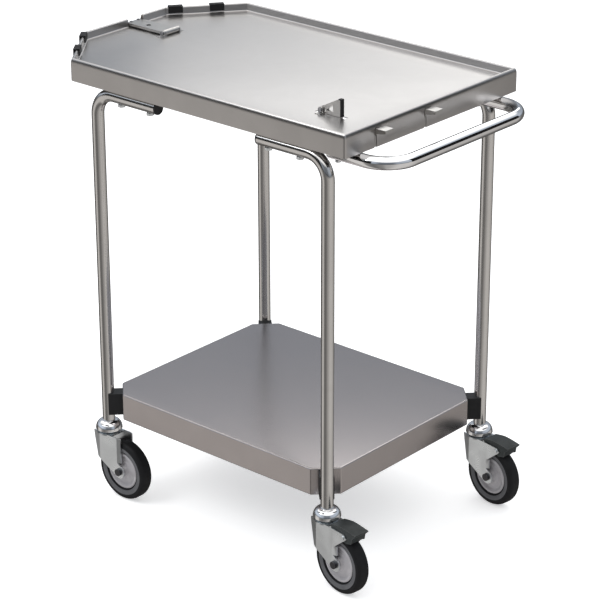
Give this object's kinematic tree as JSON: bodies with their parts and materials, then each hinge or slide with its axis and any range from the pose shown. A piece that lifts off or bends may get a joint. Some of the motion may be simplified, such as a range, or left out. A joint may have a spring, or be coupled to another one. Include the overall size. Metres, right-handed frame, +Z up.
{
  "type": "oven tray rack trolley",
  "caption": "Stainless steel trolley that carries a rack of oven trays to an oven, with a sunk deck, a rack catch, a docking hook, a lower shelf, a push handle and swivel casters.",
  "frame": {"origin": "centre of the outer box in plan, on the floor that the wheels stand on", "axes": "+Z up; +X towards the push handle; the docking end with its cut corners at -X; -Y is the side with the rack catch"},
  "size_m": [0.8666, 0.5313, 0.928],
  "materials": {
    "stainless": "satin stainless steel sheet and tube",
    "chrome": "polished, mirror bright",
    "zinc_steel": "zinc plated pressed steel, slightly blue",
    "pin_steel": "plain ground steel",
    "black_plastic": "black moulded nylon",
    "black_rubber": "black rubber",
    "hub_grey": "light grey moulded nylon",
    "tyre_black": "charcoal rubber, a lighter ring on each side",
    "pedal_charcoal": "charcoal moulded plastic"
  },
  "bodies": {
    "frame": {"top_tray": "stainless", "side_rail_front": "stainless", "side_rail_back": "stainless", "cross_rail_dock": "stainless", "cross_rail_handle": "stainless", "leg_front_left": "stainless", "leg_front_right": "stainless", "leg_back_left": "stainless", "leg_back_right": "stainless", "leg_plugs": "black_plastic", "stub_bolts": "zinc_steel", "shelf": "stainless", "shelf_stiffener": "stainless", "shelf_spacers": "black_plastic", "shelf_bolts": "zinc_steel", "handle": "chrome", "handle_blocks": "stainless", "handle_screws": "zinc_steel", "dock_buffers": "black_rubber", "catch_bracket": "stainless", "catch_pin": "pin_steel", "hook_bracket": "stainless", "hook_pin": "pin_steel", "lever_brackets": "stainless", "lever_pins": "pin_steel", "lever_springs": "zinc_steel", "caster_caps": "chrome", "swivel_bearings": "zinc_steel", "kingpins": "zinc_steel", "stem_expanders": "pin_steel"},
    "catch": {"rack_catch": "stainless", "catch_pad": "black_rubber"},
    "catch_link": {"catch_rod": "stainless"},
    "catch_release": {"catch_lever": "stainless"},
    "hook": {"dock_hook": "stainless", "hook_nose": "pin_steel"},
    "hook_link": {"hook_rod": "stainless"},
    "hook_release": {"hook_lever": "stainless"},
    "caster_front_left": {"fork_front_left": "zinc_steel", "axle_front_left": "zinc_steel"},
    "wheel_front_left": {"hub_front_left": "hub_grey", "tyre_front_left": "tyre_black"},
    "caster_front_right": {"fork_front_right": "zinc_steel", "axle_front_right": "zinc_steel", "brake_pin_front": "zinc_steel"},
    "wheel_front_right": {"hub_front_right": "hub_grey", "tyre_front_right": "tyre_black"},
    "brake_front": {"brake_pedal_front": "pedal_charcoal", "brake_shoe_front": "pin_steel"},
    "caster_back_left": {"fork_back_left": "zinc_steel", "axle_back_left": "zinc_steel"},
    "wheel_back_left": {"hub_back_left": "hub_grey", "tyre_back_left": "tyre_black"},
    "caster_back_right": {"fork_back_right": "zinc_steel", "axle_back_right": "zinc_steel", "brake_pin_back": "zinc_steel"},
    "wheel_back_right": {"hub_back_right": "hub_grey", "tyre_back_right": "tyre_black"},
    "brake_back": {"brake_pedal_back": "pedal_charcoal", "brake_shoe_back": "pin_steel"}
  },
  "joints": [
    {"name": "swivel_front_left", "type": "hinge", "parent": "frame", "child": "caster_front_left", "pos_m": [-0.27325, -0.23329, 0.14], "axis": [0, 0, 1], "continuous": true},
    {"name": "roll_front_left", "type": "hinge", "parent": "caster_front_left", "child": "wheel_front_left", "pos_m": [-0.22925, -0.23329, 0.0625], "axis": [0, 1, 0], "continuous": true},
    {"name": "swivel_front_right", "type": "hinge", "parent": "frame", "child": "caster_front_right", "pos_m": [0.30275, -0.23329, 0.14], "axis": [0, 0, 1], "continuous": true},
    {"name": "roll_front_right", "type": "hinge", "parent": "caster_front_right", "child": "wheel_front_right", "pos_m": [0.34632, -0.23941, 0.0625], "axis": [0.1392, 0.9903, 0], "continuous": true},
    {"name": "brake_press_front", "type": "hinge", "parent": "caster_front_right", "child": "brake_front", "pos_m": [0.36811, -0.24248, 0.128], "axis": [0.1392, 0.9903, 0], "range_deg": [0, 9]},
    {"name": "swivel_back_left", "type": "hinge", "parent": "frame", "child": "caster_back_left", "pos_m": [-0.27325, 0.23871, 0.14], "axis": [0, 0, 1], "continuous": true},
    {"name": "roll_back_left", "type": "hinge", "parent": "caster_back_left", "child": "wheel_back_left", "pos_m": [-0.22968, 0.23259, 0.0625], "axis": [0.1392, 0.9903, 0], "continuous": true},
    {"name": "swivel_back_right", "type": "hinge", "parent": "frame", "child": "caster_back_right", "pos_m": [0.30275, 0.23871, 0.14], "axis": [0, 0, 1], "continuous": true},
    {"name": "roll_back_right", "type": "hinge", "parent": "caster_back_right", "child": "wheel_back_right", "pos_m": [0.34632, 0.23259, 0.0625], "axis": [0.1392, 0.9903, 0], "continuous": true},
    {"name": "brake_press_back", "type": "hinge", "parent": "caster_back_right", "child": "brake_back", "pos_m": [0.36811, 0.22952, 0.128], "axis": [0.1392, 0.9903, 0], "range_deg": [0, 9]},
    {"name": "catch_lever_press", "type": "hinge", "parent": "frame", "child": "catch_release", "pos_m": [0.32875, -0.16529, 0.8845], "axis": [0, 1, 0], "range_deg": [0, 38], "stiffness_Nm_per_rad": 0.3, "springref_deg": -28.65},
    {"name": "catch_drop", "type": "hinge", "parent": "frame", "child": "catch", "pos_m": [0.21375, -0.14329, 0.9], "axis": [0, 1, 0], "range_deg": [0, 38]},
    {"name": "catch_rod_tilt", "type": "hinge", "parent": "catch", "child": "catch_link", "pos_m": [0.21375, -0.15579, 0.884], "axis": [0, 1, 0], "range_deg": [-38, 0]},
    {"name": "hook_lever_press", "type": "hinge", "parent": "frame", "child": "hook_release", "pos_m": [0.32875, -0.02429, 0.8845], "axis": [0, 1, 0], "range_deg": [0, 16], "stiffness_Nm_per_rad": 0.3, "springref_deg": -28.65},
    {"name": "hook_lift", "type": "hinge", "parent": "frame", "child": "hook", "pos_m": [-0.32925, 0.02771, 0.9], "axis": [0, 1, 0], "range_deg": [0, 16]},
    {"name": "hook_rod_tilt", "type": "hinge", "parent": "hook", "child": "hook_link", "pos_m": [-0.32925, -0.01479, 0.884], "axis": [0, 1, 0], "range_deg": [-16, 0]}
  ],
  "couplings": [
    {"joint": "catch_drop", "follows": "catch_lever_press", "ratio": 1},
    {"joint": "catch_rod_tilt", "follows": "catch_lever_press", "ratio": -1},
    {"joint": "hook_lift", "follows": "hook_lever_press", "ratio": 1},
    {"joint": "hook_rod_tilt", "follows": "hook_lever_press", "ratio": -1}
  ]
}
